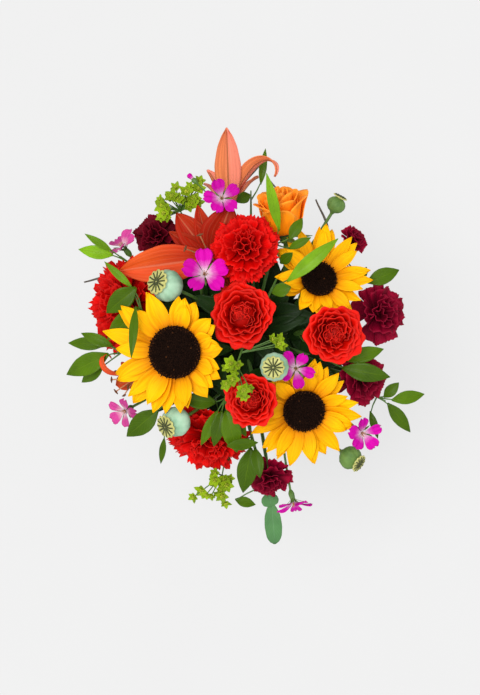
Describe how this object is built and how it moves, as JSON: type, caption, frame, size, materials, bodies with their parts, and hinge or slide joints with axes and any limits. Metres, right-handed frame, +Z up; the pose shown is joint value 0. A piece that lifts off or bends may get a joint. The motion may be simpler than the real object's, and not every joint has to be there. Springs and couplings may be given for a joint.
{
  "type": "mixed flower bouquet",
  "caption": "Hand-tied spiral bouquet of sunflowers, roses, carnations, lilies, seed heads and foliage, standing on its splayed cut stems.",
  "frame": {"origin": "on the surface it stands on, under the middle of the twine binding, which is also the middle of its outline seen from above", "axes": "+Z up along the binding; +Y towards the side that the tall lily points to, which is the top of the picture"},
  "size_m": [0.364, 0.4201, 0.4117],
  "materials": {
    "sun_yellow": "matte petal",
    "seed_brown": "matte",
    "rose_red": "satin petal",
    "rose_orange": "satin petal",
    "carnation_red": "matte petal",
    "burgundy": "velvety petal",
    "lily_coral": "satin petal",
    "cockle_magenta": "matte petal",
    "leafy_stem": "waxy leaf and green stem",
    "flower_stem": "matte green stem",
    "lime_green": "matte bract",
    "pod_green": "matte, bloomed",
    "twig_brown": "matte bark",
    "twine_tan": "rough fibre"
  },
  "bodies": {
    "root": {"sunflower_left_petals": "sun_yellow", "sunflower_left_disc": "seed_brown", "sunflower_back_petals": "sun_yellow", "sunflower_back_disc": "seed_brown", "sunflower_front_petals": "sun_yellow", "sunflower_front_disc": "seed_brown", "rose_middle_bloom": "rose_red", "rose_right_bloom": "rose_red", "rose_low_bloom": "rose_red", "highrose_orange_bloom": "rose_orange", "carnation_top_bloom": "carnation_red", "carnation_left_bloom": "carnation_red", "carnation_low_bloom": "carnation_red", "burgundy_right_bloom": "burgundy", "burgundy_small_bloom": "burgundy", "burgundy_left_bloom": "burgundy", "burgundy_front_bloom": "burgundy", "burgundy_low_bloom": "burgundy", "lily_tall_bloom": "lily_coral", "lily_open_bloom": "lily_coral", "lily_left_bloom": "lily_coral", "cockle_middle_bloom": "cockle_magenta", "cockle_top_bloom": "cockle_magenta", "cockle_left_bloom": "cockle_magenta", "cockle_pod_bloom": "cockle_magenta", "cockle_right_bloom": "cockle_magenta", "cockle_pink_bloom": "cockle_magenta", "cockle_front_bloom": "cockle_magenta", "sunflower_left_stem": "flower_stem", "sunflower_back_stem": "flower_stem", "sunflower_front_stem": "flower_stem", "rose_spray_stem": "flower_stem", "rose_right_stem": "flower_stem", "highrose_orange_stem": "flower_stem", "carnation_top_stem": "flower_stem", "carnation_left_stem": "flower_stem", "carnation_low_stem": "flower_stem", "burgundy_right_stem": "flower_stem", "burgundy_left_stem": "flower_stem", "burgundy_low_stem": "flower_stem", "burgundy_front_stem": "flower_stem", "lily_tall_stem": "flower_stem", "lily_left_stem": "flower_stem", "pod_left_stem": "pod_green", "pod_right_stem": "pod_green", "pod_middle_stem": "pod_green", "pod_low_stem": "pod_green", "pod_front_stem": "pod_green", "cockle_upper_stem": "flower_stem", "cockle_lower_stem": "flower_stem", "cockle_pink_stem": "flower_stem", "leafy_left_stem": "leafy_stem", "leafy_front_stem": "leafy_stem", "leafy_right_stem": "leafy_stem", "leafy_top_stem": "leafy_stem", "wax_upper_stem": "lime_green", "wax_lower_stem": "lime_green", "bare_twig_left_stem": "twig_brown", "bare_twig_right_stem": "twig_brown", "twine_tie": "twine_tan"}
  },
  "joints": []
}
